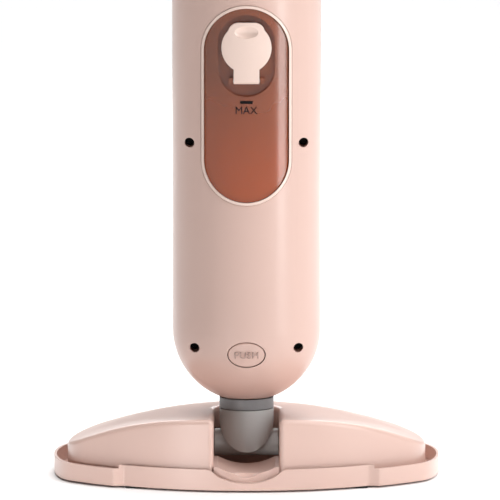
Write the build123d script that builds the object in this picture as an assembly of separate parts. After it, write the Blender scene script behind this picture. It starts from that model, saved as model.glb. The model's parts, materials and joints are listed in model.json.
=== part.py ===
from build123d import *
from math import cos, radians, sin, sqrt
import os

# Upright steam mop whose body is a detachable handheld garment steamer.
# Millimetres. +X is to the right seen from the front, -Y is the front, +Z is up.
# The origin is on the surface it stands on, below the axis of the neck.

os.makedirs("parts", exist_ok=True)

# Glider tray and mop head, seen from above
TRAY_HALF = 150.0
FRONT_Y = -94.0
FRONT_RADIUS = 196.0
WIDEST_Y = 10.0
BACK_DEPTH = 110.0
BACK_POWER = 2.65
CORNER_X = 135.0
CORNER_MID = (145.4, -20.0)
FOOT_HEIGHT = 1.6
TRAY_WALL = 2.0
TRAY_FLOOR = 2.0
RIM_TOP = 15.1
MIDDLE_TOP = 17.6
MIDDLE_HALF = 94.0
MIDDLE_RECESS = 4.5
FOLD_WIDTH = 8.0
SCOOP_HALF = 27.5
SCOOP_RISE = 13.0
SHOULDER_ROUND = 9.0
SCOOP_BOTTOM = 7.2
HEAD_INSET = 10.5
HEAD_WALL = 2.6
HEAD_BOTTOM = 4.4
BASE_PLATE = 2.6
SLOT_HALF = 25.2
TOP_ROUND = 4.0
MOUTH_ROUND = 3.5
FOLD_ROUND = 4.0
BUTTON_ROUND = 1.0
SLOT_STRAIGHT = 11.5
FLOOR_FRONT = -84.5
FLOOR_REAR = -25.5
FLOOR_RISE = 13.2
FLOOR_DISH = 13.0
DISH_RADIUS = 46.0
HOLLOW_Y = -82.0
HOLLOW_Z = 24.0
HOLLOW_RADIUS = 13.5
SLOT_BACK = 28.0

# Height of the head's top: distance from front to back, height on the centre
# line, fall from there to the side, and how square the arch is.
HEAD_SECTIONS = [
    (-100.0, 58.2, 27.0, 4.0),
    (-52.0, 52.4, 25.0, 3.2),
    (0.0, 51.2, 27.0, 2.4),
    (60.0, 49.4, 28.5, 2.1),
    (114.0, 35.0, 20.0, 2.0),
]
SECTION_HALF = 142.0

# Neck joint
BARREL_Z = 26.0
BARREL_RADIUS = 10.5
BARREL_HALF = 24.8
JOURNAL_RADIUS = 7.0
JOURNAL_END = 35.0
ROLL_Z = 37.6
BOSS_RADIUS = 9.0
BOSS_HALF = 12.9
EAR_INNER = 13.2
NECK_RADIUS = 21.1
EAR_BOTTOM = 20.5
EAR_RISE = 24.0
TUNNEL_HALF = 11.6
TUNNEL_RISE = 13.8
FORK_TOP = 52.8
COLLAR_BOTTOM = 53.2
COLLAR_TOP = 61.6
SPIGOT_RADIUS = 12.0
SPIGOT_TOP = 94.0
PIN_RADIUS = 3.0
RUNNING_CLEARANCE = 0.05
STEAM_BORE = 3.0

# Handheld unit
BODY_RADIUS = 57.4
BODY_WALL = 2.6
DOME_Z = 115.8
MOUTH_RADIUS = 20.6
SHOULDER_Z = 412.0
SHOULDER_RISE = 44.0
NECK_TOP_RADIUS = 24.0
BODY_TOP = 470.0
WINDOW_Z = 292.9
WINDOW_HALF = 34.6
WINDOW_LENGTH = 152.8
LIP_WIDTH = 2.1
LIP_PROUD = 0.9
TANK_BACK = 4.0
TANK_WALL = 2.2
CAP_Z = 337.2
CAP_RADIUS = 19.1
CAP_BROW = 356.4
BROW_HALF = 14.2
BROW_ROUND = 8.2
THUMB_DIMPLE = (13.0, 7.8, 5.8)
TONGUE_HALF = 9.8
CAP_PIN_Z = 311.9
CAP_PIN_Y = -53.2
RECESS_HALF = 21.6
RECESS_BOTTOM = 300.0
RECESS_TOP = 362.2
RECESS_FLOOR_Y = -50.4
FILLER_RADIUS = 12.0
HOLE_SPOTS = [(43.6, 263.2), (39.8, 105.0)]
HOLE_RADIUS = 3.7
SEAT_Y = -17.0
TOWER_RADIUS = 5.6
BUTTON_Z = 101.2
BUTTON_HALF_X = 14.2
BUTTON_HALF_Z = 9.7
BUTTON_GAP = 0.5

LATCH_Z = 82.0
LATCH_THICK = 3.4
NOZZLE_RADIUS = 17.0
NOZZLE_BORE = 12.4
BOILER_Y = 8.0
BOILER_RADIUS = 30.0
BOILER_LOW = 122.0
BOILER_HIGH = 198.0
PUMP_PLACE = (24.0, 30.0)
HOSE_RADIUS = 3.0
DIAL_Z = 396.5
DIAL_RADIUS = 15.0
LAMP_Z = 421.0
LAMP_RADIUS = 3.0
CORD_Z = 150.0
GLAND_RADIUS = 8.0
CATCH_Z = 463.0
CATCH_RADIUS = 4.5

# Rear handle with its steam trigger
HANDLE_RADIUS = 13.0
HANDLE_Y = 98.0
HANDLE_LOW = 214.0
HANDLE_HIGH = 392.0
TRIGGER_PIN = (88.0, 366.0)
TRIGGER_HALF = 5.5

# Pole and top grip
POLE_RADIUS = 12.5
POLE_WALL = 1.2
POLE_JOINT_Z = 760.0
POLE_TOP = 1040.0
GRIP_TOP = 1150.0


def save(shape, name):
    export_step(shape, f"parts/{name}.step")


def tube(outer, inner, low, high):
    """Upright ring between two heights, centred on the Z axis."""
    ring = Circle(outer) - Circle(inner)
    return Pos(0, 0, low) * extrude(ring, high - low)


def rod(radius, low, high):
    """Upright cylinder between two heights, centred on the Z axis."""
    return Pos(0, 0, low) * extrude(Circle(radius), high - low)


def along_x(radius, x_low, x_high, y, z):
    """Cylinder lying along X."""
    plane = Plane(origin=(x_low, y, z), x_dir=(0, 1, 0), z_dir=(1, 0, 0))
    return extrude(plane * Circle(radius), x_high - x_low)


def along_y(sketch, y_low, y_high):
    """Extrude a sketch drawn as (x, z) from one depth to another."""
    plane = Plane(origin=(0, y_low, 0), x_dir=(1, 0, 0), z_dir=(0, -1, 0))
    return extrude(plane * sketch, -(y_high - y_low))


def block(x_low, x_high, y_low, y_high, z_low, z_high):
    size = Box(x_high - x_low, y_high - y_low, z_high - z_low)
    centre = ((x_low + x_high) / 2, (y_low + y_high) / 2, (z_low + z_high) / 2)
    return Pos(*centre) * size


def both_sides(shape):
    """The shape and its mirror image in the YZ plane, as separate solids."""
    return [shape, mirror(shape, Plane.YZ)]


# ---------------------------------------------------------------- mop head plan

def arc_point(x, radius):
    """Point on the bowed front edge of that radius."""
    return (x, FRONT_Y + FRONT_RADIUS - sqrt(radius**2 - x**2))


def side_points(inset):
    """Right-hand side from the front corner towards the back apex."""
    half = TRAY_HALF - inset
    depth = BACK_DEPTH - inset
    points = [arc_point(CORNER_X - inset, FRONT_RADIUS - inset)]
    points.append((CORNER_MID[0] - inset, CORNER_MID[1]))
    points.append((half, WIDEST_Y))
    for angle in (20, 40, 60, 76):
        x = half * cos(radians(angle)) ** (2 / BACK_POWER)
        y = WIDEST_Y + depth * sin(radians(angle)) ** (2 / BACK_POWER)
        points.append((x, y))
    return points


def plan_face(inset, recess):
    """Plan of the tray or head, smaller all round by the inset."""
    right = side_points(inset)
    left = [(-x, y) for x, y in reversed(right)]
    radius = FRONT_RADIUS - inset
    start = right[0]
    run = sqrt(radius**2 - start[0] ** 2)
    apex = (0, WIDEST_Y + BACK_DEPTH - inset)
    ends = [(run, start[0]), (run, -start[0])]
    sides = Spline(*right, apex, *left, tangents=ends, tangent_scalars=[1.0, 1.0])
    if recess == 0:
        front = ThreePointArc(left[-1], (0, FRONT_Y + inset), start)
        return make_face([front, sides])
    outer_x = MIDDLE_HALF + FOLD_WIDTH
    outer = arc_point(outer_x, radius)
    inner = arc_point(MIDDLE_HALF, radius - recess)
    right_arc = ThreePointArc(outer, arc_point((outer_x + start[0]) / 2, radius), start)
    right_fold = Line(inner, outer)
    middle = ThreePointArc((-inner[0], inner[1]), (0, FRONT_Y + inset + recess), inner)
    left_edges = [mirror(right_arc, Plane.YZ), mirror(right_fold, Plane.YZ)]
    return make_face([middle, right_fold, right_arc, sides] + left_edges)


# ------------------------------------------------------------------ glider tray

def glider_tray():
    outer = soft_folds(extrude(plan_face(0, MIDDLE_RECESS), MIDDLE_TOP - FOOT_HEIGHT))
    inner = soft_folds(extrude(plan_face(TRAY_WALL, MIDDLE_RECESS), MIDDLE_TOP))
    plate = Pos(0, 0, FOOT_HEIGHT) * (outer & block(-200, 200, -200, 200, 0, TRAY_FLOOR))
    wall = outer - inner
    wall = Pos(0, 0, FOOT_HEIGHT) * wall
    low_sides = block(MIDDLE_HALF + FOLD_WIDTH / 2, 200, -120, 140, RIM_TOP, 40)
    low_back = block(-120, 120, 20, 140, RIM_TOP, 40)
    wall = wall - low_sides - mirror(low_sides, Plane.YZ) - low_back
    tray = plate + wall
    tray = tray + neck_rest()
    return tray - along_y(scoop_plan(), -110, -80)


def scoop_plan():
    """Soft-shouldered dip in the front rim, seen from the front."""
    dip = Pos(0, SCOOP_BOTTOM + SCOOP_RISE) * Ellipse(SCOOP_HALF, SCOOP_RISE)
    above = Pos(0, MIDDLE_TOP + 5) * Rectangle(2 * SCOOP_HALF + 30, 10)
    plan = dip + above
    shoulders = plan.vertices().filter_by(lambda v: abs(v.Y - MIDDLE_TOP) < 0.01)
    inner = shoulders.filter_by(lambda v: abs(v.X) < SCOOP_HALF + 1)
    return fillet(inner, SHOULDER_ROUND)


def soft_folds(prism):
    """Round the upright folds where the middle of the front steps back."""
    folds = prism.edges().filter_by(Axis.Z).filter_by(
        lambda e: MIDDLE_HALF - 3 < abs(e.center().X) < MIDDLE_HALF + FOLD_WIDTH + 1)
    return fillet(folds, FOLD_ROUND)


def neck_rest():
    """Raised land behind the front rim, dished so that the neck can lean over it."""
    land = plan_face(TRAY_WALL / 2, MIDDLE_RECESS)
    land = land & (Pos(0, -88) * Rectangle(2 * SCOOP_HALF + 10, 7.6))
    return Pos(0, 0, FOOT_HEIGHT) * extrude(land, SCOOP_BOTTOM + 3 - FOOT_HEIGHT)


def glider_feet():
    foot = extrude(SlotOverall(18, 7), FOOT_HEIGHT)
    spots = [(84, -64), (-84, -64), (92, 66), (-92, 66), (0, 0)]
    return [Pos(x, y, 0) * foot for x, y in spots]


# --------------------------------------------------------------------- mop head

def top_section(y, height, fall, power, lower):
    """Cross-section of the head at one depth, with an arched top."""
    points = []
    for share in (-1, -0.75, -0.5, -0.25, 0, 0.25, 0.5, 0.75, 1):
        x = share * SECTION_HALF
        points.append((x, height - lower - fall * abs(share) ** power))
    edges = Polyline((points[-1]), (SECTION_HALF, -10), (-SECTION_HALF, -10), (points[0]))
    plane = Plane(origin=(0, y, 0), x_dir=(1, 0, 0), z_dir=(0, -1, 0))
    return plane * make_face([Spline(*points), edges])


def head_body(inset, lower, bottom):
    """Solid of the head's outer form, or of its cavity."""
    sections = [top_section(*values, lower) for values in HEAD_SECTIONS]
    roof = loft(sections)
    plan = Pos(0, 0, bottom) * extrude(plan_face(inset, 0), 80)
    return roof & plan


def slot_plan(margin):
    """Gap for the neck: open at the front, round behind the neck."""
    half = SLOT_HALF + margin
    length = SLOT_STRAIGHT - FRONT_Y + 20
    front = Pos(0, SLOT_STRAIGHT - length / 2) * Rectangle(2 * half, length)
    return front + Pos(0, SLOT_STRAIGHT) * Ellipse(half, SLOT_BACK + margin - SLOT_STRAIGHT)


def is_upright(edge):
    return abs(edge.tangent_at(0.5).Z) > 0.9


def rounded_head():
    """The head's outer form with the slot, all upper edges rounded."""
    outer = head_body(HEAD_INSET, 0, HEAD_BOTTOM) - extrude(slot_plan(0), 90)
    mouth = outer.edges().filter_by(
        lambda e: is_upright(e) and abs(abs(e.center().X) - SLOT_HALF) < 1 and e.center().Y < -70)
    outer = fillet(mouth, MOUTH_ROUND)
    upper = outer.edges().filter_by(lambda e: e.center().Z > 12 and not is_upright(e))
    return fillet(upper, TOP_ROUND)


def head_cover():
    cavity = head_body(HEAD_INSET + HEAD_WALL, HEAD_WALL, HEAD_BOTTOM - 1)
    cover = rounded_head() - (cavity - extrude(slot_plan(HEAD_WALL), 90))
    journals = along_x(JOURNAL_RADIUS + 0.6, -60, 60, 0, BARREL_Z)
    cover = cover - journals
    inside = head_body(HEAD_INSET + HEAD_WALL / 2, HEAD_WALL / 2, HEAD_BOTTOM + BASE_PLATE)
    for x, y in screw_places():
        cover = cover + (Pos(x, y) * tube(4, 1.6, HEAD_BOTTOM + BASE_PLATE, 60) & inside)
    return cover


def screw_places():
    right = [(116, -8), (80, -56), (60, 84)]
    return right + [(-x, y) for x, y in right]


def head_base():
    """Flat plate that closes the head from below, open under the neck."""
    plan = extrude(plan_face(HEAD_INSET + HEAD_WALL + 0.7, 0), BASE_PLATE)
    plate = Pos(0, 0, HEAD_BOTTOM) * plan
    plate = plate - extrude(slot_plan(HEAD_WALL + 0.3), 30)
    hole = extrude(Circle(1.5), 20)
    for x in (-96, -72, -48, 48, 72, 96):
        for y in (-34, 44):
            plate = plate - Pos(x, y, 0) * hole
    for x, y in screw_places():
        plate = plate - Pos(x, y) * (rod(1.7, 0, 20) + rod(3.0, 0, HEAD_BOTTOM + 1.5))
    return plate


def slot_floor():
    """Dished floor at the mouth of the slot, with a thumb hollow in its front edge."""
    mouth = Pos(0, (FLOOR_FRONT + FLOOR_REAR) / 2) * Rectangle(2 * SLOT_HALF, FLOOR_REAR - FLOOR_FRONT)
    floor = Pos(0, 0, HEAD_BOTTOM + 1) * extrude(mouth, FLOOR_RISE)
    floor = floor & head_body(HEAD_INSET + 0.4, 0, HEAD_BOTTOM)
    dish = Pos(0, FLOOR_DISH + DISH_RADIUS) * Circle(DISH_RADIUS)
    floor = floor - along_y(dish, -100, 0)
    hollow = Pos(0, HOLLOW_Y, HOLLOW_Z) * Sphere(HOLLOW_RADIUS)
    return floor - hollow


def barrel_bearings():
    """Saddles under the two journals of the swivel barrel."""
    saddle = block(29.2, 34.6, -12, 12, HEAD_BOTTOM + BASE_PLATE, BARREL_Z)
    cap = along_x(11.0, 29.2, 34.6, 0, BARREL_Z)
    bore = along_x(JOURNAL_RADIUS + RUNNING_CLEARANCE, 28, 36, 0, BARREL_Z)
    return both_sides(saddle + cap - bore)


def steam_channel():
    """Closed duct that spreads the steam over the base plate's holes."""
    z_low = HEAD_BOTTOM + BASE_PLATE
    duct = block(-104, 104, 40, 50, z_low, z_low + 10)
    branch = block(-104, -94, -40, 41, z_low, z_low + 10)
    return duct + branch + mirror(branch, Plane.YZ)


def head_hose():
    """Silicone hose from the barrel's journal to the steam channel."""
    duct_top = HEAD_BOTTOM + BASE_PLATE + 10
    route = [(37, 0, BARREL_Z), (58, 0, BARREL_Z), (58, 45, BARREL_Z), (58, 45, duct_top)]
    return hose(route, 3.6, 7)


def head_screws():
    screw = rod(1.5, HEAD_BOTTOM + 0.2, HEAD_BOTTOM + 11) + rod(2.8, HEAD_BOTTOM + 0.2, HEAD_BOTTOM + 1.5)
    return [Pos(x, y) * screw for x, y in screw_places()]


def pad_grips():
    """Hook strips under the base plate that a cloth pad clings to."""
    strip = block(50, 110, -18, 18, HEAD_BOTTOM - 0.7, HEAD_BOTTOM)
    back = block(-45, 45, 66, 90, HEAD_BOTTOM - 0.7, HEAD_BOTTOM)
    return both_sides(strip) + [back]


# ------------------------------------------------------------------- neck joint

def swivel_barrel():
    body = along_x(BARREL_RADIUS, -BARREL_HALF, BARREL_HALF, 0, BARREL_Z)
    body = body + along_x(JOURNAL_RADIUS, -JOURNAL_END, JOURNAL_END, 0, BARREL_Z)
    boss = Pos(0, ROLL_Z) * Circle(BOSS_RADIUS)
    boss = boss + Pos(0, (BARREL_Z + ROLL_Z) / 2) * Rectangle(2 * BOSS_RADIUS, ROLL_Z - BARREL_Z)
    body = body + along_y(boss, -BOSS_HALF, BOSS_HALF)
    pin_bore = Pos(0, ROLL_Z) * Circle(PIN_RADIUS + RUNNING_CLEARANCE)
    body = body - along_y(pin_bore, -20, 20)
    steam_way = along_x(STEAM_BORE, 0, 40, 0, BARREL_Z)
    return body - steam_way


def neck_fork():
    """Neck stub whose two ears straddle the barrel, front and back."""
    middle_z = EAR_BOTTOM + EAR_RISE
    outline = Pos(0, middle_z) * Ellipse(NECK_RADIUS, EAR_RISE)
    upright = FORK_TOP + 10 - middle_z
    outline = outline + Pos(0, middle_z + upright / 2) * Rectangle(2 * NECK_RADIUS, upright)
    fork = rod(NECK_RADIUS, EAR_BOTTOM - 2, FORK_TOP) & along_y(outline, -30, 30)
    tunnel = Plane.YZ * Pos(0, BARREL_Z) * Ellipse(TUNNEL_HALF, TUNNEL_RISE)
    fork = fork - extrude(tunnel, 30, both=True)
    fork = fork - block(-30, 30, -TUNNEL_HALF, TUNNEL_HALF, 0, BARREL_Z)
    pocket = Pos(0, ROLL_Z) * Circle(BOSS_RADIUS + 0.6)
    pocket = pocket + Pos(0, ROLL_Z - 20) * Rectangle(2 * BOSS_RADIUS + 4, 40)
    fork = fork - along_y(pocket, -EAR_INNER, EAR_INNER)
    pin_hole = Pos(0, ROLL_Z) * Circle(PIN_RADIUS)
    return fork - along_y(pin_hole, -18.2, 18.2) - rod(STEAM_BORE, 40, 60)


def neck_pin():
    return along_y(Pos(0, ROLL_Z) * Circle(PIN_RADIUS), -18.0, 18.0)


def neck_collar():
    """Dark ring on top of the fork, with the spigot that plugs into the unit."""
    ring = rod(NECK_RADIUS, COLLAR_BOTTOM, COLLAR_TOP)
    spigot = rod(SPIGOT_RADIUS, COLLAR_TOP - 1, SPIGOT_TOP)
    collar = chamfer(ring.edges().filter_by(GeomType.CIRCLE), 0.3) + spigot
    for z in (69.0, 90.0):
        collar = collar - tube(SPIGOT_RADIUS + 1, SPIGOT_RADIUS - 1.3, z - 1.2, z + 1.2)
    collar = collar - tube(SPIGOT_RADIUS + 1, SPIGOT_RADIUS - 2, 79.6, 84.4)
    return collar - rod(STEAM_BORE, COLLAR_BOTTOM - 1, SPIGOT_TOP + 1)


def collar_shim():
    """Thin gasket in the seam between the fork and the collar."""
    return tube(NECK_RADIUS - 1.2, STEAM_BORE + 1, FORK_TOP, COLLAR_BOTTOM)


def spigot_seals():
    """Two O-rings in the spigot's grooves."""
    ring = Torus(SPIGOT_RADIUS - 0.45, 0.8)
    return [Pos(0, 0, z) * ring for z in (69.0, 90.0)]


# --------------------------------------------------------------- handheld shell

def body_solid(inset):
    """Solid of revolution of the unit's outer form, or of its cavity."""
    radius = BODY_RADIUS - inset
    mouth = MOUTH_RADIUS if inset == 0 else 6.0
    bottom_z = DOME_Z - sqrt(radius**2 - mouth**2)
    mid = radius * sqrt(0.5)
    top = BODY_TOP - inset
    neck = NECK_TOP_RADIUS if inset == 0 else 8.0
    dome = ThreePointArc((mouth, bottom_z), (mid, DOME_Z - mid), (radius, DOME_Z))
    wall = Line((radius, DOME_Z), (radius, SHOULDER_Z))
    rise = SHOULDER_RISE - inset
    shoulder = Spline((radius, SHOULDER_Z), (radius * 0.92, SHOULDER_Z + rise * 0.55),
                      (radius * 0.68, SHOULDER_Z + rise * 0.88), (neck, SHOULDER_Z + rise),
                      tangents=[(0, 1), (-1, 0.05)])
    rest = Polyline((neck, SHOULDER_Z + rise), (neck, top), (0, top), (0, bottom_z),
                    (mouth, bottom_z))
    profile = make_face([dome, wall, shoulder, rest])
    return revolve(Plane.XZ * profile, Axis.Z)


def stadium(half_width, length, z):
    """Upright oblong with round ends, drawn as (x, z)."""
    middle = Rectangle(2 * half_width, length - 2 * half_width)
    end = Pos(0, length / 2 - half_width) * Circle(half_width)
    other = Pos(0, half_width - length / 2) * Circle(half_width)
    return Pos(0, z) * (middle + end + other)


def body_shell():
    shell = body_solid(0) - body_solid(BODY_WALL)
    shell = shell - rod(MOUTH_RADIUS, 50, 75)
    window = along_y(stadium(WINDOW_HALF + 0.2, WINDOW_LENGTH + 0.4, WINDOW_Z), -80, 0)
    shell = shell - window
    opening = Pos(0, BUTTON_Z) * Ellipse(BUTTON_HALF_X + BUTTON_GAP, BUTTON_HALF_Z + BUTTON_GAP)
    return shell - along_y(opening, -80, 0)


def hole_places():
    return [(side * x, z) for x, z in HOLE_SPOTS for side in (-1, 1)]


def front_shell():
    half = body_shell() & block(-80, 80, -90, 0, 40, 500)
    inside = body_solid(BODY_WALL / 2)
    for x, z in hole_places():
        tower = along_y(Pos(x, z) * Circle(TOWER_RADIUS), -60, SEAT_Y + 3)
        half = half + (tower & inside)
    for x, z in hole_places():
        half = half - along_y(Pos(x, z) * Circle(HOLE_RADIUS), -80, SEAT_Y)
        half = half - along_y(Pos(x, z) * Circle(1.9), -80, SEAT_Y + 10)
    half = half - along_y(Pos(0, DIAL_Z) * Circle(DIAL_RADIUS + 0.5), -80, -40)
    half = half - along_y(Pos(0, LAMP_Z) * Circle(LAMP_RADIUS + 0.1), -80, -40)
    return half - pole_socket()


def rear_shell():
    half = body_shell() & block(-80, 80, 0, 90, 40, 500)
    inside = body_solid(BODY_WALL / 2)
    for x, z in hole_places():
        tower = along_y(Pos(x, z) * Circle(TOWER_RADIUS - 0.8), SEAT_Y + 3.3, 60)
        half = half + (tower & inside)
    for x, z in hole_places():
        half = half - along_y(Pos(x, z) * Circle(1.65), -60, SEAT_Y + 26)
    cord_hole = Pos(0, CORD_Z) * Circle(GLAND_RADIUS)
    half = half - along_y(cord_hole, 40, 80)
    half = half - along_y(Pos(0, CATCH_Z) * Circle(CATCH_RADIUS + 0.4), 10, 40)
    spring_seat = block(-5, 5, 36, 60, LATCH_Z - 4, LATCH_Z + 4) & inside
    return (half + spring_seat) - pole_socket()


# --------------------------------------------------------- window, tank and cap

def cylinder_band(outer, inner):
    """Upright ring that follows the round of the body's front."""
    return tube(outer, inner, 180, 410) & block(-80, 80, -90, 0, 180, 410)


def window_frame():
    ring = along_y(stadium(WINDOW_HALF, WINDOW_LENGTH, WINDOW_Z), -80, 0)
    opening_length = WINDOW_LENGTH - 2 * LIP_WIDTH
    opening = along_y(stadium(WINDOW_HALF - LIP_WIDTH, opening_length, WINDOW_Z), -90, 1)
    return (ring - opening) & cylinder_band(BODY_RADIUS + LIP_PROUD, BODY_RADIUS - 4.5)


def tank_solid(inset):
    """Outer form of the tank or, with an inset, its cavity."""
    half = WINDOW_HALF - LIP_WIDTH - 0.2 - inset
    length = WINDOW_LENGTH - 2 * LIP_WIDTH - 0.4 - 2 * inset
    prism = along_y(stadium(half, length, WINDOW_Z), -80, TANK_BACK - inset)
    return prism & rod(BODY_RADIUS - 0.4 - inset, 200, 400)


def water_tank():
    tank = tank_solid(0) - tank_solid(TANK_WALL)
    recess_z = (RECESS_BOTTOM + RECESS_TOP) / 2
    recess_length = RECESS_TOP - RECESS_BOTTOM
    cup = stadium(RECESS_HALF + TANK_WALL, recess_length + 2 * TANK_WALL, recess_z)
    tank = tank + (along_y(cup, -80, RECESS_FLOOR_Y + TANK_WALL) & tank_solid(0))
    tank = tank - along_y(stadium(RECESS_HALF, recess_length, recess_z), -80, RECESS_FLOOR_Y)
    neck = Pos(0, CAP_Z) * Circle(FILLER_RADIUS + 2)
    tank = tank + along_y(neck, RECESS_FLOOR_Y, RECESS_FLOOR_Y + 9)
    tank = tank - along_y(Pos(0, CAP_Z) * Circle(FILLER_RADIUS), -80, -35)
    for lug in both_sides(block(10.2, 13.6, -55.6, RECESS_FLOOR_Y + 0.5, 309.4, 314.4)):
        tank = tank + lug
    tank = tank - along_x(1.4, -14, 14, CAP_PIN_Y, CAP_PIN_Z)
    outlet = Pos(0, 226) * Circle(5)
    tank = tank + along_y(outlet, TANK_BACK - 1, TANK_BACK + 6)
    return tank - along_y(Pos(0, 226) * Circle(2.6), -2, TANK_BACK + 7)


def level_mark():
    """Printed mark for the highest water level, a bar just proud of the tank."""
    bar = along_y(Pos(0, 295.7) * Rectangle(9.6, 2.2), -80, -40)
    return bar & cylinder_band(BODY_RADIUS - 0.2, BODY_RADIUS - 0.4)


def tank_cap():
    disc = Pos(0, CAP_Z) * Circle(CAP_RADIUS)
    brow_height = CAP_BROW - CAP_Z
    brow = Pos(0, CAP_Z + brow_height / 2) * RectangleRounded(2 * BROW_HALF, brow_height + 8, BROW_ROUND)
    disc = disc + Pos(0, -4) * brow
    tongue_z = (CAP_PIN_Z + CAP_Z) / 2
    tongue = Pos(0, tongue_z) * Rectangle(2 * TONGUE_HALF, CAP_Z - CAP_PIN_Z)
    plate = along_y(disc + tongue, -80, CAP_PIN_Y + 0.8)
    plate = plate & cylinder_band(BODY_RADIUS + 0.4, 30)
    knuckle = along_x(2.6, -TONGUE_HALF, TONGUE_HALF, CAP_PIN_Y, CAP_PIN_Z)
    plug = along_y(Pos(0, CAP_Z) * Circle(FILLER_RADIUS - 1.2), CAP_PIN_Y, -46)
    cap = plate + knuckle + plug
    cap = cap - along_x(1.4 + RUNNING_CLEARANCE, -20, 20, CAP_PIN_Y, CAP_PIN_Z) - cap_seal()
    dimple = Pos(0, -62.6, CAP_Z + 12.4) * Rot(-18, 0, 0) * scale(Sphere(1), THUMB_DIMPLE)
    return cap - dimple


def cap_seal():
    ring = Torus(FILLER_RADIUS - 1.4, 1.1)
    groove = Pos(0, -48.6, CAP_Z) * Rot(90, 0, 0)
    return groove * ring


def cap_hinge_pin():
    return along_x(1.4, -13.6, 13.6, CAP_PIN_Y, CAP_PIN_Z)


def outlet_valve():
    body = along_y(Pos(0, 226) * Circle(6.4), TANK_BACK + 6, TANK_BACK + 14)
    return body - along_y(Pos(0, 226) * Circle(2.2), TANK_BACK, TANK_BACK + 20)


# ------------------------------------------------------------------- inner works

def hose(points, radius, bend):
    """Round hose along straight runs joined by arcs."""
    path = FilletPolyline(*points, radius=bend)
    section = Plane(origin=path @ 0, z_dir=path % 0) * Circle(radius)
    return sweep(section, path)


def suction_hose():
    x, y = PUMP_PLACE
    route = [(0, TANK_BACK + 14, 226), (0, y, 226), (x, y, 226), (x, y, 234)]
    return hose(route, HOSE_RADIUS, 6)


def water_pump():
    x, y = PUMP_PLACE
    return Pos(x, y) * (rod(13, 234, 274) + rod(9, 274, 282))


def pressure_hose():
    x, y = PUMP_PLACE
    route = [(x, y, 282), (x, y, 294), (-18, 24, 294), (-18, 24, BOILER_HIGH + 6)]
    return hose(route, HOSE_RADIUS, 8)


def boiler_lower():
    middle = (BOILER_LOW + BOILER_HIGH) / 2
    pot = rod(BOILER_RADIUS, BOILER_LOW, middle) + rod(BOILER_RADIUS + 4, middle - 4, middle - 0.6)
    pot = pot - rod(BOILER_RADIUS - 4, BOILER_LOW + 4, middle + 1)
    outlet = rod(5, BOILER_LOW - 6, BOILER_LOW) - rod(2.5, BOILER_LOW - 8, BOILER_LOW + 5)
    return Pos(0, BOILER_Y) * (pot + outlet - rod(2.5, BOILER_LOW - 8, BOILER_LOW + 5))


def boiler_upper():
    middle = (BOILER_LOW + BOILER_HIGH) / 2
    lid = rod(BOILER_RADIUS, middle, BOILER_HIGH) + rod(BOILER_RADIUS + 4, middle + 0.6, middle + 4)
    lid = Pos(0, BOILER_Y) * (lid - rod(BOILER_RADIUS - 4, middle - 1, BOILER_HIGH - 4))
    return lid + Pos(-18, 24) * rod(5, BOILER_HIGH - 1, BOILER_HIGH + 6)


def boiler_gasket():
    middle = (BOILER_LOW + BOILER_HIGH) / 2
    ring = tube(BOILER_RADIUS + 4, BOILER_RADIUS, middle - 0.6, middle + 0.6)
    return Pos(0, BOILER_Y) * (ring - rod(BOILER_RADIUS, middle, middle + 1))


def heater_terminals():
    pin = rod(2.2, BOILER_HIGH, BOILER_HIGH + 9)
    return [Pos(-10, -8) * pin, Pos(10, -8) * pin]


def thermostat():
    return Pos(12, 20) * (rod(8, BOILER_HIGH, BOILER_HIGH + 5) + rod(5, BOILER_HIGH + 5, BOILER_HIGH + 8))


def thermal_fuse():
    y = BOILER_Y + BOILER_RADIUS + 2.3
    return along_x(2.2, -11, 11, y, 180) + along_x(0.6, -18, 18, y, 180)


def steam_hose():
    return hose([(0, BOILER_Y, BOILER_LOW - 6), (0, BOILER_Y, BOILER_LOW - 9),
                 (0, 0, BOILER_LOW - 13), (0, 0, BOILER_LOW - 16)], 3.6, 1.5)


def control_board():
    board = block(-30, 30, 36, 37.6, 304, 368)
    relay = block(-24, -6, 26, 36, 312, 330)
    capacitor = block(4, 18, 24, 36, 340, 352)
    socket = block(-12, 12, 28, 36, 356, 364)
    return board + relay + capacitor + socket


def terminal_block():
    body = block(-16, 16, 14, 28, 378, 390)
    for x in (-10, 0, 10):
        body = body - Pos(x, 21, 384) * rod(2.4, 0, 20)
    return body


def steam_nozzle():
    """Socket at the foot of the unit that the spigot plugs into."""
    socket = tube(NOZZLE_RADIUS, NOZZLE_BORE, 66, 96) + tube(20.3, NOZZLE_BORE, 62.8, 68)
    top = rod(NOZZLE_RADIUS, 96, 99) + rod(5, 99, BOILER_LOW - 16)
    socket = socket + top - rod(STEAM_BORE, 90, 140)
    window = block(-9, 9, 5, 30, LATCH_Z - LATCH_THICK / 2 - 0.4, LATCH_Z + LATCH_THICK / 2 + 0.4)
    return socket - window


def cord_gland():
    flange = along_y(Pos(0, CORD_Z) * Circle(11), 48, 62.5) - body_solid(0)
    hub = along_y(Pos(0, CORD_Z) * Circle(GLAND_RADIUS - 0.1), 47, 62.5)
    tip = along_y(Pos(0, CORD_Z) * Circle(7), 62, 68)
    return flange + hub + tip - along_y(Pos(0, CORD_Z) * Circle(3.6), 40, 80)


def body_screws():
    screws = []
    for x, z in hole_places():
        head = along_y(Pos(x, z) * Circle(3.4), SEAT_Y - 2.4, SEAT_Y)
        shank = along_y(Pos(x, z) * Circle(1.6), SEAT_Y, SEAT_Y + 20)
        slot = along_y(Pos(x, z) * (Rectangle(4, 0.9) + Rectangle(0.9, 4)), SEAT_Y - 3, SEAT_Y - 1.4)
        screws.append(head + shank - slot)
    return screws


# --------------------------------------------------------------- release button

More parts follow.
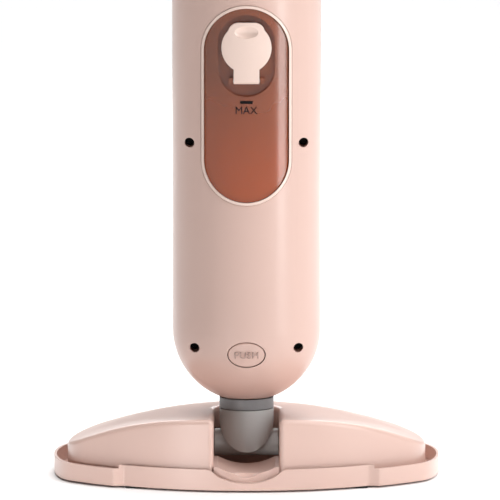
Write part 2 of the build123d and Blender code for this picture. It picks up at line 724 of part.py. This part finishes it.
def push_button():
    face = along_y(Pos(0, BUTTON_Z) * Ellipse(BUTTON_HALF_X, BUTTON_HALF_Z), -80, -36)
    face = face & body_solid(0.7)
    face = fillet(face.faces().sort_by(Axis.Y)[0].edges(), BUTTON_ROUND)
    post = block(-6, 6, -39, -35, LATCH_Z + LATCH_THICK / 2, BUTTON_Z - 4)
    return face + post


def latch_plate():
    low = LATCH_Z - LATCH_THICK / 2
    high = LATCH_Z + LATCH_THICK / 2
    frame = block(-22, 22, -39, 24, low, high) - block(-18.8, 18.8, -31, 20.4, 0, 200)
    tongue = block(-8, 8, 5, 22, low, high) - rod(SPIGOT_RADIUS + 0.4, 0, 200)
    frame = frame + (tongue & block(-30, 30, 9, 30, 0, 200))
    corners = rod(40.4, low - 1, high + 1)
    return frame & corners


def coil_spring(radius, wire, length, turns):
    """Compression spring standing on the XY plane."""
    path = Helix(pitch=(length - 2 * wire) / turns, height=length - 2 * wire, radius=radius)
    section = Plane(origin=path @ 0, z_dir=path % 0) * Circle(wire)
    return Pos(0, 0, wire) * sweep(section, path, is_frenet=True)


def latch_spring():
    spring = coil_spring(2.8, 0.45, 11.6, 6)
    return Pos(0, 24.2, LATCH_Z) * Rot(-90, 0, 0) * spring


# ------------------------------------------------------- handle, dial and lamp

def rear_handle():
    """Loop handle behind the unit, ending on the rear shell."""
    route = [(0, 50, HANDLE_HIGH), (0, HANDLE_Y, HANDLE_HIGH + 4),
             (0, HANDLE_Y + 4, HANDLE_LOW), (0, 50, HANDLE_LOW)]
    path = FilletPolyline(*route, radius=28)
    section = Plane(origin=path @ 0, x_dir=(1, 0, 0), z_dir=path % 0) * Ellipse(14.5, HANDLE_RADIUS)
    bar = sweep(section, path) - body_solid(0)
    bar = bar.solids().sort_by(SortBy.VOLUME)[-1] - grip_strip()
    y, z = TRIGGER_PIN
    slot = block(-TRIGGER_HALF - 0.4, TRIGGER_HALF + 0.4, 70, y + 9, z - 44, z + 5)
    return bar - slot - along_x(1.5, -9, 9, y, z)


def grip_strip():
    """Soft strip let into the back of the handle."""
    return block(-8, 8, HANDLE_Y + 11, HANDLE_Y + 17.6, 250, 336)


def steam_trigger():
    y, z = TRIGGER_PIN
    hub = along_x(3.6, -TRIGGER_HALF, TRIGGER_HALF, y, z)
    lever = block(-TRIGGER_HALF, TRIGGER_HALF, y - 8, y - 1, z - 38, z)
    bite = along_x(26, -20, 20, y - 31.5, z - 20)
    trigger = (lever - bite) + hub
    return trigger - along_x(1.5 + RUNNING_CLEARANCE, -9, 9, y, z)


def trigger_pin():
    y, z = TRIGGER_PIN
    return along_x(1.5, -9, 9, y, z)


def steam_dial():
    disc = along_y(Pos(0, DIAL_Z) * Circle(DIAL_RADIUS), -61.5, -52)
    shaft = along_y(Pos(0, DIAL_Z) * Circle(4), -52, -35)
    ridge = block(-2.6, 2.6, -66, -61, DIAL_Z - 13, DIAL_Z + 13)
    disc = chamfer(disc.faces().sort_by(Axis.Y)[0].edges(), 1.0)
    return disc + shaft + ridge


def dial_switch():
    """Rotary switch behind the dial."""
    case = along_y(Pos(0, DIAL_Z) * Circle(11), -40.5, -26)
    return case - along_y(Pos(0, DIAL_Z) * Circle(4 + RUNNING_CLEARANCE), -41, -34)


def lamp_lens():
    return along_y(Pos(0, LAMP_Z) * Circle(LAMP_RADIUS), -58.2, -48)


# ----------------------------------------------------------------- pole and grip

def pole_socket():
    """Hole in the unit's top for the pole's plug."""
    return rod(15.4, 428, 500)


def pole_catch():
    """Round button that holds the pole's plug."""
    return along_y(Pos(0, CATCH_Z) * Circle(CATCH_RADIUS), 17.4, 25.6)


def pole_plug():
    plug = rod(15.0, 430, BODY_TOP + 1) + rod(23.0, BODY_TOP + 0.6, BODY_TOP + 14)
    plug = plug + rod(17.0, BODY_TOP + 14, BODY_TOP + 40)
    return plug - rod(POLE_RADIUS, BODY_TOP - 6, BODY_TOP + 60)


def pole_lower():
    return tube(POLE_RADIUS, POLE_RADIUS - POLE_WALL, BODY_TOP - 6, POLE_JOINT_Z)


def pole_upper():
    return tube(POLE_RADIUS, POLE_RADIUS - POLE_WALL, POLE_JOINT_Z + 0.4, POLE_TOP)


def pole_sleeve():
    sleeve = tube(POLE_RADIUS + 3, POLE_RADIUS, POLE_JOINT_Z - 28, POLE_JOINT_Z + 28)
    ends = sleeve.edges().filter_by(GeomType.CIRCLE).filter_by(lambda e: e.radius > POLE_RADIUS + 1)
    return fillet(ends, 1.5)


def hook_ring(z):
    ring = tube(POLE_RADIUS + 4, POLE_RADIUS, z - 9, z + 9)
    return ring + along_y(Pos(0, z) * Circle(7.5), POLE_RADIUS + 2, POLE_RADIUS + 8)


def hook_arm(z, direction):
    """Cord hook that stands off the pole and turns up or down at its end."""
    start_y = POLE_RADIUS + 8.3
    route = [(0, start_y, z), (0, start_y + 24, z), (0, start_y + 24, z + direction * 34)]
    path = FilletPolyline(*route, radius=12)
    section = Plane(origin=path @ 0, x_dir=(1, 0, 0), z_dir=path % 0) * Ellipse(6, 3.5)
    return sweep(section, path) + along_y(Pos(0, z) * Circle(7.5), start_y, start_y + 4)


def top_grip():
    radii = [(0, 15.5), (0.12, 17.5), (0.45, 15.8), (0.8, 17.8), (1, 16.5)]
    low = POLE_TOP - 24
    points = [(r, low + share * (GRIP_TOP - 6 - low)) for share, r in radii]
    side = Spline(*points)
    rest = Polyline(points[-1], (0, points[-1][1]), (0, low), points[0])
    body = revolve(Plane.XZ * make_face([side, rest]), Axis.Z)
    return body - rod(POLE_RADIUS, low - 1, POLE_TOP)


def grip_cap():
    cap = rod(16.4, GRIP_TOP - 6, GRIP_TOP)
    return fillet(cap.faces().sort_by(Axis.Z)[-1].edges(), 4.5)


PARTS = {
    "glider_tray": glider_tray,
    "glider_feet": glider_feet,
    "head_cover": head_cover,
    "head_base": head_base,
    "slot_floor": slot_floor,
    "barrel_bearings": barrel_bearings,
    "steam_channel": steam_channel,
    "head_hose": head_hose,
    "head_screws": head_screws,
    "pad_grips": pad_grips,
    "swivel_barrel": swivel_barrel,
    "neck_fork": neck_fork,
    "neck_pin": neck_pin,
    "neck_collar": neck_collar,
    "collar_shim": collar_shim,
    "spigot_seals": spigot_seals,
    "front_shell": front_shell,
    "rear_shell": rear_shell,
    "window_frame": window_frame,
    "water_tank": water_tank,
    "level_mark": level_mark,
    "tank_cap": tank_cap,
    "cap_seal": cap_seal,
    "cap_hinge_pin": cap_hinge_pin,
    "outlet_valve": outlet_valve,
    "suction_hose": suction_hose,
    "water_pump": water_pump,
    "pressure_hose": pressure_hose,
    "boiler_lower": boiler_lower,
    "boiler_upper": boiler_upper,
    "boiler_gasket": boiler_gasket,
    "heater_terminals": heater_terminals,
    "thermostat": thermostat,
    "thermal_fuse": thermal_fuse,
    "steam_hose": steam_hose,
    "control_board": control_board,
    "terminal_block": terminal_block,
    "steam_nozzle": steam_nozzle,
    "cord_gland": cord_gland,
    "body_screws": body_screws,
    "push_button": push_button,
    "latch_plate": latch_plate,
    "latch_spring": latch_spring,
    "rear_handle": rear_handle,
    "handle_grip": grip_strip,
    "steam_trigger": steam_trigger,
    "trigger_pin": trigger_pin,
    "steam_dial": steam_dial,
    "dial_switch": dial_switch,
    "lamp_lens": lamp_lens,
    "pole_catch": pole_catch,
    "pole_plug": pole_plug,
    "pole_lower": pole_lower,
    "pole_upper": pole_upper,
    "pole_sleeve": pole_sleeve,
    "top_grip": top_grip,
    "grip_cap": grip_cap,
}

for name, make in PARTS.items():
    shape = make()
    if isinstance(shape, list):
        shape = Compound(children=shape)
    save(shape, name)

save(Compound(children=[hook_ring(560.0), hook_arm(560.0, -1)]), "lower_hook")
save(hook_ring(985.0), "upper_hook_ring")
save(hook_arm(985.0, 1), "upper_hook_arm")
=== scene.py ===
import json
from math import cos, pi, radians, sin

import bmesh
import bpy
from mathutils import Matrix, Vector


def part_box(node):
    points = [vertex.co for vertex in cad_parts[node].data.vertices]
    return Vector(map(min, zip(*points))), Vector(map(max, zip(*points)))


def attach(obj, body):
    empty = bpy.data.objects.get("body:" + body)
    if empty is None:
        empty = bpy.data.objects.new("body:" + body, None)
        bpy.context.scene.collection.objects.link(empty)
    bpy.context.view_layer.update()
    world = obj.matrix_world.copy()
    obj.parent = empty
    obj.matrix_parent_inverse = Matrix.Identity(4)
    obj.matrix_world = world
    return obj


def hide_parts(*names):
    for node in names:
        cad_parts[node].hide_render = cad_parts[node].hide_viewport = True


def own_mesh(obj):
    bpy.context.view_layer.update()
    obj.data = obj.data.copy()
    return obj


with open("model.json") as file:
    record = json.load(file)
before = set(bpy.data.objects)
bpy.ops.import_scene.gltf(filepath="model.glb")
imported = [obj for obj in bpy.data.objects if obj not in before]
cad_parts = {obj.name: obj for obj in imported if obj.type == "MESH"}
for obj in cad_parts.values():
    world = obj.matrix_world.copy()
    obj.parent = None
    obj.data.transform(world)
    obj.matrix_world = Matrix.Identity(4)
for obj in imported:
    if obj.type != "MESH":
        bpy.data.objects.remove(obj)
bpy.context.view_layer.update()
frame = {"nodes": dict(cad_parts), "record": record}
scene = bpy.context.scene
MM = 0.001

# ---------------------------------------------------------------- sizes

PUSH_WIDTH = 18.4 * MM
PUSH_HEIGHT = 5.0 * MM
PUSH_CENTRE_Z = 101.2 * MM
PUSH_RADIUS = 56.72 * MM             # from the body's axis to the letters' outer face
PUSH_DEPTH = 0.2 * MM
PUSH_WEIGHT = 0.01                   # how far the outline moves out, as a share of the font size

MAX_WIDTH = 16.6 * MM
MAX_HEIGHT = 5.6 * MM
MAX_CENTRE_Z = 289.6 * MM
MAX_PROUD = 0.2 * MM                 # outer face of the letters in front of the tank
MAX_DEPTH = 0.12 * MM

TANK_GLOW_LOW_Z = 225 * MM               # painted glow: the tank's tint goes from the brighter, warmer lower colour to the upper one between these heights
TANK_GLOW_HIGH_Z = 320 * MM
FLOOR_SIZE = 40                      # in metres, so that no edge of the floor is seen


# ---------------------------------------------------------------- node helpers

def blank_material(name):
    """A material with one shader on its output."""
    material = bpy.data.materials.new(name)
    material.use_nodes = True
    tree = material.node_tree
    tree.nodes.clear()
    output = tree.nodes.new("ShaderNodeOutputMaterial")
    shader = tree.nodes.new("ShaderNodeBsdfPrincipled")
    tree.links.new(shader.outputs["BSDF"], output.inputs["Surface"])
    return material, tree, shader


def noise(tree, scale, detail=3.0, stretch=(1, 1, 1)):
    """Soft noise in the object's own coordinates, from 0 to 1."""
    coords = tree.nodes.new("ShaderNodeTexCoord")
    mapping = tree.nodes.new("ShaderNodeMapping")
    mapping.inputs["Scale"].default_value = stretch
    texture = tree.nodes.new("ShaderNodeTexNoise")
    texture.inputs["Scale"].default_value = scale
    texture.inputs["Detail"].default_value = detail
    tree.links.new(coords.outputs["Object"], mapping.inputs["Vector"])
    tree.links.new(mapping.outputs["Vector"], texture.inputs["Vector"])
    return texture.outputs["Fac"]


def remap(tree, source, low, high, start=0.3, end=0.7):
    """Carry the range start to end over to the range low to high."""
    node = tree.nodes.new("ShaderNodeMapRange")
    node.inputs["From Min"].default_value = start
    node.inputs["From Max"].default_value = end
    node.inputs["To Min"].default_value = low
    node.inputs["To Max"].default_value = high
    tree.links.new(source, node.inputs["Value"])
    return node.outputs["Result"]


def blend_colours(tree, factor, first, second):
    """First colour at a factor of 0 and second at 1; each is a tuple or a socket."""
    node = tree.nodes.new("ShaderNodeMix")
    node.data_type = "RGBA"
    tree.links.new(factor, node.inputs[0])
    for socket, value in ((node.inputs[6], first), (node.inputs[7], second)):
        if isinstance(value, tuple):
            socket.default_value = (*value, 1)
        else:
            tree.links.new(value, socket)
    return node.outputs[2]


def shade(colour, factor):
    """The colour made darker or lighter by that factor."""
    return tuple(min(1.0, c * factor) for c in colour)


def rounded_normal(tree, radius):
    """Normal that runs softly over edges of that radius."""
    bevel = tree.nodes.new("ShaderNodeBevel")
    bevel.samples = 6
    bevel.inputs["Radius"].default_value = radius
    return bevel.outputs["Normal"]


def edge_mask(tree, rounded):
    """White where the rounded normal leaves the surface's own, so on edges."""
    geometry = tree.nodes.new("ShaderNodeNewGeometry")
    product = tree.nodes.new("ShaderNodeVectorMath")
    product.operation = "DOT_PRODUCT"
    tree.links.new(rounded, product.inputs[0])
    tree.links.new(geometry.outputs["Normal"], product.inputs[1])
    return remap(tree, product.outputs["Value"], 1.0, 0.0, 0.85, 1.0)


def bump(tree, height, strength, distance, normal=None):
    node = tree.nodes.new("ShaderNodeBump")
    node.inputs["Strength"].default_value = strength
    node.inputs["Distance"].default_value = distance
    tree.links.new(height, node.inputs["Height"])
    if normal is not None:
        tree.links.new(normal, node.inputs["Normal"])
    return node.outputs["Normal"]


# ---------------------------------------------------------------- materials

def moulded(name, colour, rough, coat=0.0, grain=0.25, edge=0.5 * MM,
            highlight_and_wear_gain=1.12, vary=0.018, gloss=0.5):
    """Moulded plastic: soft colour drift, fine spark grain, paler edges that are a painted highlight and
    partly wear.
    """
    material, tree, shader = blank_material(name)
    drift = noise(tree, 11, 4)
    tone = blend_colours(tree, drift, shade(colour, 1 - vary), shade(colour, 1 + vary))
    rounded = rounded_normal(tree, edge)
    # painted highlight: the edges turn paler to stand for light caught on their rounding, with some wear
    # as well
    highlight_and_wear_mask = remap(tree, edge_mask(tree, rounded), 0.0, 0.35, 0.0, 1.0)
    tone = blend_colours(tree, highlight_and_wear_mask, tone, shade(colour, highlight_and_wear_gain))
    tree.links.new(tone, shader.inputs["Base Color"])
    smear = noise(tree, 16, 2, (1, 1, 0.5))
    patchy = remap(tree, smear, rough * 0.94, rough * 1.08)
    tree.links.new(patchy, shader.inputs["Roughness"])
    fine = noise(tree, 1900, 2)
    surface = bump(tree, fine, grain, 0.02 * MM, rounded)
    tree.links.new(surface, shader.inputs["Normal"])
    shader.inputs["IOR"].default_value = 1.5
    shader.inputs["Specular IOR Level"].default_value = gloss
    shader.inputs["Coat Weight"].default_value = coat
    shader.inputs["Coat Roughness"].default_value = 0.06
    return material


def metal(name, colour, rough, stretch, edge=0.3 * MM, cast=0.0):
    """Metal with brush lines along one axis, or a cast skin."""
    material, tree, shader = blank_material(name)
    lines = noise(tree, 900, 3, stretch)
    tone = blend_colours(tree, lines, shade(colour, 0.86), shade(colour, 1.1))
    tree.links.new(tone, shader.inputs["Base Color"])
    patchy = remap(tree, noise(tree, 60, 4), rough * 0.8, rough * 1.3)
    tree.links.new(patchy, shader.inputs["Roughness"])
    shader.inputs["Metallic"].default_value = 1.0
    rounded = rounded_normal(tree, edge)
    height = noise(tree, 700, 4) if cast else lines
    tree.links.new(bump(tree, height, 0.15 + cast, 0.03 * MM, rounded), shader.inputs["Normal"])
    return material


def soft_rubber(name, colour, rough):
    """Rubber or silicone with a dusty, slightly uneven skin."""
    material, tree, shader = blank_material(name)
    dust = noise(tree, 160, 6)
    tone = blend_colours(tree, dust, shade(colour, 0.85), shade(colour, 1.35))
    tree.links.new(tone, shader.inputs["Base Color"])
    patchy = remap(tree, noise(tree, 80, 4), rough * 0.85, min(1, rough * 1.15))
    tree.links.new(patchy, shader.inputs["Roughness"])
    rounded = rounded_normal(tree, 0.3 * MM)
    tree.links.new(bump(tree, noise(tree, 1400, 3), 0.3, 0.03 * MM, rounded), shader.inputs["Normal"])
    return material


def height_share(tree, low, high):
    """0 at that height of the object and 1 at the other."""
    coords = tree.nodes.new("ShaderNodeTexCoord")
    parts = tree.nodes.new("ShaderNodeSeparateXYZ")
    tree.links.new(coords.outputs["Object"], parts.inputs["Vector"])
    return remap(tree, parts.outputs["Z"], 0.0, 1.0, low, high)


def tinted(name, upper, lower, rough=0.16, weight=0.55):
    """Clear tinted plastic with a painted glow, brighter and warmer towards the bottom, and a wet-looking
    face.
    """
    material, tree, shader = blank_material(name)
    flow = noise(tree, 22, 3, (1, 1, 0.4))
    rise = height_share(tree, TANK_GLOW_LOW_Z, TANK_GLOW_HIGH_Z)
    # painted glow: the lower colour is brighter and warmer, standing for light glowing in the tank's
    # bottom
    painted_glow_tone = blend_colours(tree, rise, lower, upper)
    streak = remap(tree, flow, 0.0, 0.35)
    tone = blend_colours(tree, streak, painted_glow_tone, shade(lower, 1.15))
    tree.links.new(tone, shader.inputs["Base Color"])
    patchy = remap(tree, noise(tree, 40, 3), rough * 0.9, rough * 1.15)
    tree.links.new(patchy, shader.inputs["Roughness"])
    shader.inputs["Transmission Weight"].default_value = weight
    shader.inputs["IOR"].default_value = 1.45
    shader.inputs["Specular IOR Level"].default_value = 0.3
    shader.inputs["Coat Weight"].default_value = 0.65
    shader.inputs["Coat Roughness"].default_value = 0.15
    rounded = rounded_normal(tree, 0.8 * MM)
    tree.links.new(bump(tree, noise(tree, 1200, 2), 0.04, 0.01 * MM, rounded), shader.inputs["Normal"])
    return material


BLUSH = (0.65, 0.45, 0.388)
PALE = (0.82, 0.63, 0.55)
MATERIALS = {
    "blush_plastic": moulded("blush_plastic", BLUSH, 0.3, coat=0.1, grain=0.12, edge=0.8 * MM),
    "pale_blush_plastic": moulded("pale_blush_plastic", PALE, 0.32, coat=0.2, grain=0.15, edge=0.6 * MM),
    "grey_plastic": moulded("grey_plastic", (0.42, 0.42, 0.41), 0.40, grain=0.5, vary=0.08),
    "dark_grey_plastic": moulded("dark_grey_plastic", (0.19, 0.19, 0.195), 0.42, grain=0.6, vary=0.1),
    "black_plastic": moulded("black_plastic", (0.016, 0.016, 0.017), 0.5, grain=0.7, highlight_and_wear_gain=2.2, vary=0.15),
    "white_plastic": moulded("white_plastic", (0.74, 0.73, 0.70), 0.45, grain=0.4, vary=0.03),
    "amber_tank": tinted("amber_tank", (0.36, 0.105, 0.045), (0.60, 0.115, 0.022)),
    "rubber_black": soft_rubber("rubber_black", (0.018, 0.018, 0.018), 0.85),
    "silicone": soft_rubber("silicone", (0.66, 0.63, 0.58), 0.6),
    "steel": metal("steel", (0.58, 0.58, 0.59), 0.28, (1, 1, 0.05)),
    "boiler_aluminium": metal("boiler_aluminium", (0.52, 0.52, 0.53), 0.5, (1, 1, 1), cast=0.5),
    "brass": metal("brass", (0.70, 0.50, 0.22), 0.32, (0.05, 1, 1)),
    "board_green": moulded("board_green", (0.03, 0.16, 0.06), 0.35, grain=0.5, vary=0.15),
    "pole_paint": moulded("pole_paint", (0.56, 0.47, 0.43), 0.25, coat=0.4, grain=0.1),
    "print_black": moulded("print_black", (0.008, 0.007, 0.007), 0.75, grain=0.5, edge=0.05 * MM,
                           highlight_and_wear_gain=1.1, vary=0.2, gloss=0.08),
}


def paint(piece, material):
    """Give the piece that one material."""
    piece.data.materials.clear()
    piece.data.materials.append(material)


slot_of = {entry["node"]: entry["material_slot"] for entry in frame["record"]["subparts"]}
for node_name, piece in frame["nodes"].items():
    paint(piece, MATERIALS[slot_of[node_name]])
# painted shade: a darker copy of the grey plastic for the pole's grey parts, so the strong top light
# doesn't wash them out
shaded_hook_grey = moulded("shaded_hook_grey", (0.24, 0.24, 0.235), 0.42, grain=0.5, vary=0.06)
for node_name in ("pole_plug", "pole_sleeve", "lower_hook", "upper_hook_ring", "upper_hook_arm"):
    paint(frame["nodes"][node_name], shaded_hook_grey)
paint(frame["nodes"]["body_screws"], metal("dark_screws", (0.02, 0.02, 0.02), 0.45, (1, 1, 0.05)))


# ---------------------------------------------------------------- lettering

def mesh_from_text(name, words, height, width, weight):
    """Flat letters in the XZ plane, centred, of that height and width."""
    curve = bpy.data.curves.new(name, "FONT")
    curve.body = words
    curve.size = 1.0
    curve.offset = weight
    curve.resolution_u = 6
    holder = bpy.data.objects.new(name + "_outline", curve)
    scene.collection.objects.link(holder)
    bpy.context.view_layer.update()
    mesh = bpy.data.meshes.new_from_object(holder)
    bpy.data.objects.remove(holder)
    xs = [v.co.x for v in mesh.vertices]
    ys = [v.co.y for v in mesh.vertices]
    mid_x, mid_y = (min(xs) + max(xs)) / 2, (min(ys) + max(ys)) / 2
    scale_x = width / (max(xs) - min(xs))
    scale_y = height / (max(ys) - min(ys))
    for v in mesh.vertices:
        v.co = Vector(((v.co.x - mid_x) * scale_x, 0, (v.co.y - mid_y) * scale_y))
    return mesh


def wrap_on_body(mesh, centre_z, radius):
    """Lay flat letters round a cylinder about the Z axis, on its front."""
    for v in mesh.vertices:
        turn = v.co.x / radius
        v.co = Vector((radius * sin(turn), -radius * cos(turn), v.co.z + centre_z))


def add_piece(name, mesh, material, body):
    """Put the mesh in the scene as a piece that moves with that body."""
    piece = bpy.data.objects.new(name, mesh)
    scene.collection.objects.link(piece)
    paint(piece, material)
    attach(piece, body)
    return piece


def thicken(mesh, depth):
    """Give flat letters a solid depth towards the axis."""
    work = bmesh.new()
    work.from_mesh(mesh)
    result = bmesh.ops.extrude_face_region(work, geom=list(work.faces))
    for v in result["geom"]:
        if isinstance(v, bmesh.types.BMVert):
            out = Vector((v.co.x, v.co.y, 0)).normalized()
            v.co -= out * depth
    bmesh.ops.recalc_face_normals(work, faces=list(work.faces))
    work.to_mesh(mesh)
    work.free()


# painted shade: the PUSH letters take the button's blush darkened to 0.7, standing for the shade in the
# engraved letters
engraving_shade = moulded("engraving_shade_blush", shade(BLUSH, 0.7), 0.5, grain=0.4)
push_letters = mesh_from_text("push_letters", "PUSH", PUSH_HEIGHT, PUSH_WIDTH, PUSH_WEIGHT)
wrap_on_body(push_letters, PUSH_CENTRE_Z, PUSH_RADIUS)
thicken(push_letters, PUSH_DEPTH)
add_piece("push_letters", push_letters, engraving_shade, "button")

max_letters = mesh_from_text("max_letters", "MAX", MAX_HEIGHT, MAX_WIDTH, 0.0)
tank_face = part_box("water_tank")[0].y
wrap_on_body(max_letters, MAX_CENTRE_Z, -tank_face + MAX_PROUD)
thicken(max_letters, MAX_DEPTH)
add_piece("max_letters", max_letters, MATERIALS["print_black"], "unit")


# ---------------------------------------------------------------- latch spring

def working_spring():
    """The latch spring as a piece of its own that moves with the unit."""
    piece = add_piece("latch_spring_coil", frame["nodes"]["latch_spring"].data.copy(),
                      MATERIALS["steel"], "unit")
    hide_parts("latch_spring")
    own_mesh(piece)


working_spring()


# ---------------------------------------------------------------- floor and light

def studio_floor():
    """A wide, nearly white floor."""
    work = bmesh.new()
    bmesh.ops.create_grid(work, x_segments=24, y_segments=24, size=FLOOR_SIZE)
    mesh = bpy.data.meshes.new("floor")
    work.to_mesh(mesh)
    work.free()
    floor = bpy.data.objects.new("floor", mesh)
    scene.collection.objects.link(floor)
    material, tree, shader = blank_material("floor_paint")
    tone = blend_colours(tree, noise(tree, 3, 4), (0.97, 0.97, 0.97), (0.99, 0.99, 0.99))
    tree.links.new(tone, shader.inputs["Base Color"])
    tree.links.new(remap(tree, noise(tree, 20, 4), 0.75, 0.9), shader.inputs["Roughness"])
    paint(floor, material)


def soft_light(name, place, aim, size, power, spread=180):
    """A rectangular lamp, in metres and watts, that the camera doesn't see."""
    lamp = bpy.data.lights.new(name, "AREA")
    lamp.shape = "RECTANGLE"
    lamp.size, lamp.size_y = size
    lamp.energy = power
    lamp.spread = radians(spread)
    holder = bpy.data.objects.new(name, lamp)
    holder.location = place
    way = Vector(aim) - Vector(place)
    holder.rotation_mode = "QUATERNION"
    holder.rotation_quaternion = way.to_track_quat("-Z", "Y")
    holder.visible_camera = False
    scene.collection.objects.link(holder)


SKY_LEFT = 0.02
SKY_RIGHT = 0.56


def studio_world():
    """White to the eye, and a softer dome for lighting, dimmer on the left."""
    world = bpy.data.worlds.new("studio")
    world.use_nodes = True
    tree = world.node_tree
    tree.nodes.clear()
    output = tree.nodes.new("ShaderNodeOutputWorld")
    seen = tree.nodes.new("ShaderNodeBackground")
    lit = tree.nodes.new("ShaderNodeBackground")
    seen.inputs["Color"].default_value = (1, 1, 1, 1)
    seen.inputs["Strength"].default_value = 1.0
    coords = tree.nodes.new("ShaderNodeTexCoord")
    parts = tree.nodes.new("ShaderNodeSeparateXYZ")
    tree.links.new(coords.outputs["Generated"], parts.inputs["Vector"])
    side = remap(tree, parts.outputs["X"], SKY_LEFT, SKY_RIGHT, -0.9, 0.9)
    tree.links.new(side, lit.inputs["Strength"])
    path = tree.nodes.new("ShaderNodeLightPath")
    mix = tree.nodes.new("ShaderNodeMixShader")
    tree.links.new(path.outputs["Is Camera Ray"], mix.inputs["Fac"])
    tree.links.new(lit.outputs["Background"], mix.inputs[1])
    tree.links.new(seen.outputs["Background"], mix.inputs[2])
    tree.links.new(mix.outputs["Shader"], output.inputs["Surface"])
    scene.world = world


def studio_sun(name, aim_from, strength, spread):
    """Light from that direction, softened over an angle of spread degrees."""
    lamp = bpy.data.lights.new(name, "SUN")
    lamp.energy = strength
    lamp.angle = radians(spread)
    holder = bpy.data.objects.new(name, lamp)
    holder.rotation_mode = "QUATERNION"
    holder.rotation_quaternion = (-Vector(aim_from)).to_track_quat("-Z", "Y")
    scene.collection.objects.link(holder)


KEY_FROM = (0.627, -0.439, 0.643)    # 55 degrees right of the front and 40 degrees up
TOP_FROM = (0.1, 0.15, 1.0)          # nearly overhead

studio_floor()
studio_world()
studio_sun("sun_key", KEY_FROM, strength=0.8, spread=40)
studio_sun("sun_top", TOP_FROM, strength=2.15, spread=60)
soft_light("strip_right", (1.235, -0.85, 0.55), aim=(0, 0, 0.3), size=(0.36, 1.3), power=8.6)
soft_light("fill_back", (0, 2.8, 1.9), aim=(0, 0, 0.1), size=(3.2, 1.8), power=80)
soft_light("fill_low", (-0.42, -0.70, 0.04), aim=(-0.11, -0.07, -0.005), size=(0.3, 0.05),
           power=0.05, spread=20)


# ---------------------------------------------------------------- camera

TARGET = Vector((2.7, 0, 176)) * MM
DISTANCE = 4.0
TILT = radians(6.6)
SENSOR_WIDTH = 36                    # both in the camera's millimetres
FOCAL_LENGTH = 371.6

lens = bpy.data.cameras.new("camera")
lens.sensor_width = SENSOR_WIDTH
lens.lens = FOCAL_LENGTH
lens.clip_start, lens.clip_end = 0.05, 200
camera = bpy.data.objects.new("camera", lens)
camera.location = TARGET + Vector((0, -cos(TILT), sin(TILT))) * DISTANCE
camera.rotation_euler = (pi / 2 - TILT, 0, 0)
scene.collection.objects.link(camera)
scene.camera = camera
scene.view_settings.view_transform = "Standard"
